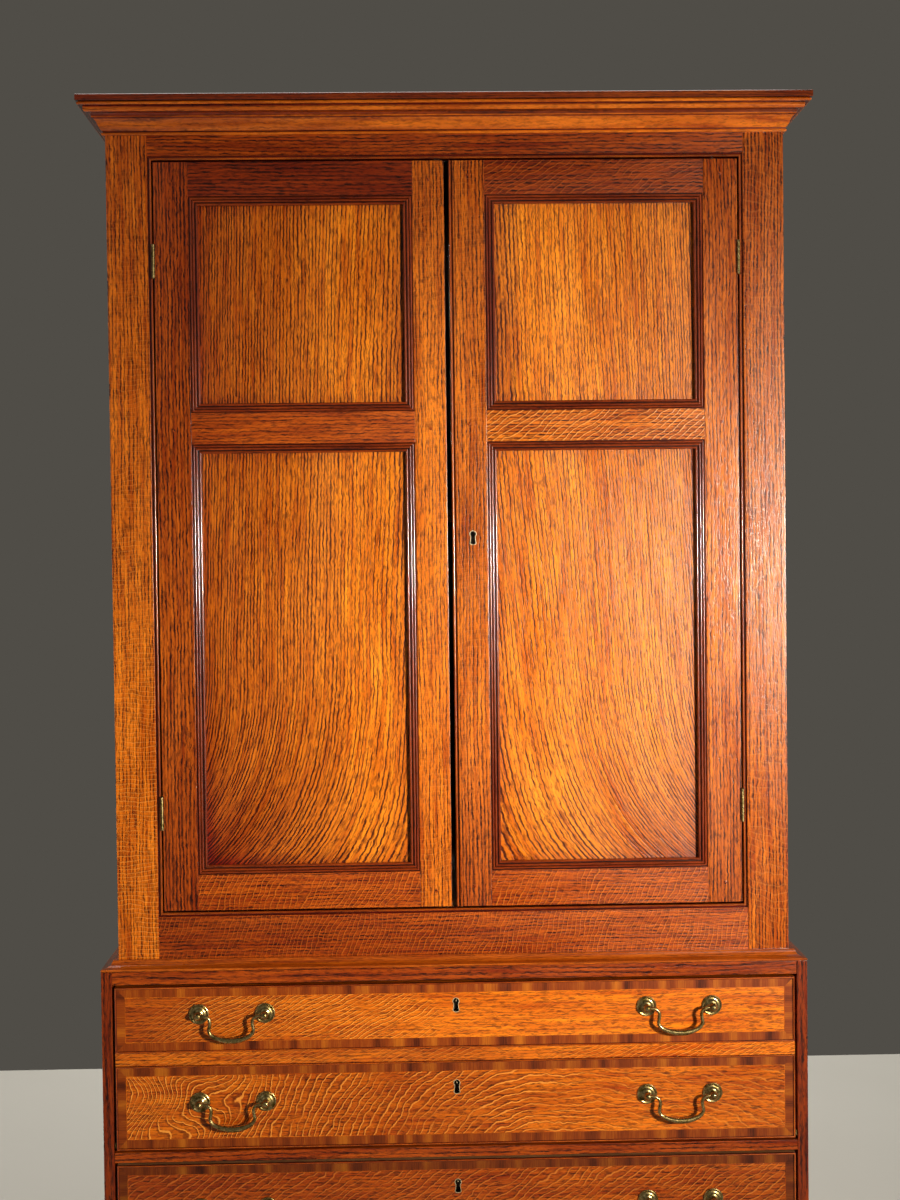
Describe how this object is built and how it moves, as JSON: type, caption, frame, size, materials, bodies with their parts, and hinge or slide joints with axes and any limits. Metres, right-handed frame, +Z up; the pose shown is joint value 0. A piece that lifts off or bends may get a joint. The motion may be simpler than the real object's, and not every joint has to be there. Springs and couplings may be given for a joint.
{
  "type": "secretaire cabinet",
  "caption": "Oak cabinet: a panelled cupboard with hinged doors stands on a chest with a fall-front writing drawer and long drawers under it, with swan-neck brass handles.",
  "frame": {"origin": "on the floor, under the middle of the whole piece's box", "axes": "+Z up, the longest extent; +Y to the back, the shortest extent; the doors and drawers face -Y and +X is to the right of someone facing them"},
  "size_m": [1.058, 0.5516, 2.0453],
  "materials": {
    "oak": "waxed brown oak, semi-gloss",
    "oak_panel": "waxed honey oak, semi-gloss",
    "oak_front": "waxed quarter-sawn oak with crossbanding, semi-gloss",
    "oak_inside": "dry unpolished oak",
    "brass": "aged, rubbed bright on the high places",
    "iron": "dark wrought plate",
    "leather": "worn green hide"
  },
  "bodies": {
    "carcass": {"face_frame": "oak", "press_side_left": "oak", "press_side_right": "oak", "press_top": "oak_inside", "press_floor": "oak_inside", "press_shelf": "oak_inside", "press_back": "oak_inside", "cornice": "oak", "left_door_lower_hinge": "brass", "left_door_upper_hinge": "brass", "right_door_lower_hinge": "brass", "right_door_upper_hinge": "brass", "chest_side_left": "oak", "chest_side_right": "oak", "chest_top": "oak", "chest_floor": "oak", "chest_back": "oak_inside", "secretaire_dustboard": "oak", "drawer_dustboard": "oak", "waist_moulding": "oak", "bracket_base": "oak"},
    "left_door": {"left_door_frame": "oak", "left_upper_panel": "oak_panel", "left_lower_panel": "oak_panel"},
    "right_door": {"right_door_frame": "oak", "right_upper_panel": "oak_panel", "right_lower_panel": "oak_panel", "door_lock": "iron"},
    "writing_drawer": {"secretaire_tray": "oak_inside", "pigeonholes": "oak_inside", "fall_pivot_left": "brass", "fall_pivot_right": "brass"},
    "fall": {"fall_front": "oak_front", "writing_leather": "leather", "fall_upper_left_rose_left": "brass", "fall_upper_left_rose_right": "brass", "fall_upper_right_rose_left": "brass", "fall_upper_right_rose_right": "brass", "fall_lower_left_rose_left": "brass", "fall_lower_left_rose_right": "brass", "fall_lower_right_rose_left": "brass", "fall_lower_right_rose_right": "brass"},
    "upper_drawer": {"upper_long_drawer": "oak_front", "upper_drawer_left_rose_left": "brass", "upper_drawer_left_rose_right": "brass", "upper_drawer_right_rose_left": "brass", "upper_drawer_right_rose_right": "brass"},
    "lower_drawer": {"lower_long_drawer": "oak_front", "lower_drawer_left_rose_left": "brass", "lower_drawer_left_rose_right": "brass", "lower_drawer_right_rose_left": "brass", "lower_drawer_right_rose_right": "brass"},
    "fall_upper_left_handle": {"fall_upper_left_bail": "brass"},
    "fall_upper_right_handle": {"fall_upper_right_bail": "brass"},
    "fall_lower_left_handle": {"fall_lower_left_bail": "brass"},
    "fall_lower_right_handle": {"fall_lower_right_bail": "brass"},
    "upper_drawer_left_handle": {"upper_drawer_left_bail": "brass"},
    "upper_drawer_right_handle": {"upper_drawer_right_bail": "brass"},
    "lower_drawer_left_handle": {"lower_drawer_left_bail": "brass"},
    "lower_drawer_right_handle": {"lower_drawer_right_bail": "brass"}
  },
  "joints": [
    {"name": "left_door_hinge", "type": "hinge", "parent": "carcass", "child": "left_door", "pos_m": [-0.42575, -0.23275, 0.8663], "axis": [0, 0, -1], "range_deg": [0, 150]},
    {"name": "right_door_hinge", "type": "hinge", "parent": "carcass", "child": "right_door", "pos_m": [0.42575, -0.23275, 0.8663], "axis": [0, 0, 1], "range_deg": [0, 150]},
    {"name": "writing_drawer_slide", "type": "slide", "parent": "carcass", "child": "writing_drawer", "axis": [0, -1, 0], "range_m": [0, 0.26]},
    {"name": "fall_hinge", "type": "hinge", "parent": "writing_drawer", "child": "fall", "pos_m": [0, -0.24975, 0.5288], "axis": [1, 0, 0], "range_deg": [0, 90]},
    {"name": "upper_drawer_slide", "type": "slide", "parent": "carcass", "child": "upper_drawer", "axis": [0, -1, 0], "range_m": [0, 0.4]},
    {"name": "lower_drawer_slide", "type": "slide", "parent": "carcass", "child": "lower_drawer", "axis": [0, -1, 0], "range_m": [0, 0.4]},
    {"name": "fall_upper_left_swing", "type": "hinge", "parent": "fall", "child": "fall_upper_left_handle", "pos_m": [-0.326, -0.27025, 0.7198], "axis": [-1, 0, 0], "range_deg": [0, 85]},
    {"name": "fall_upper_right_swing", "type": "hinge", "parent": "fall", "child": "fall_upper_right_handle", "pos_m": [0.326, -0.27025, 0.7198], "axis": [-1, 0, 0], "range_deg": [0, 85]},
    {"name": "fall_lower_left_swing", "type": "hinge", "parent": "fall", "child": "fall_lower_left_handle", "pos_m": [-0.326, -0.27025, 0.5908], "axis": [-1, 0, 0], "range_deg": [0, 85]},
    {"name": "fall_lower_right_swing", "type": "hinge", "parent": "fall", "child": "fall_lower_right_handle", "pos_m": [0.326, -0.27025, 0.5908], "axis": [-1, 0, 0], "range_deg": [0, 85]},
    {"name": "upper_drawer_left_swing", "type": "hinge", "parent": "upper_drawer", "child": "upper_drawer_left_handle", "pos_m": [-0.326, -0.27025, 0.4348], "axis": [-1, 0, 0], "range_deg": [0, 85]},
    {"name": "upper_drawer_right_swing", "type": "hinge", "parent": "upper_drawer", "child": "upper_drawer_right_handle", "pos_m": [0.326, -0.27025, 0.4348], "axis": [-1, 0, 0], "range_deg": [0, 85]},
    {"name": "lower_drawer_left_swing", "type": "hinge", "parent": "lower_drawer", "child": "lower_drawer_left_handle", "pos_m": [-0.326, -0.27025, 0.2498], "axis": [-1, 0, 0], "range_deg": [0, 85]},
    {"name": "lower_drawer_right_swing", "type": "hinge", "parent": "lower_drawer", "child": "lower_drawer_right_handle", "pos_m": [0.326, -0.27025, 0.2498], "axis": [-1, 0, 0], "range_deg": [0, 85]}
  ]
}
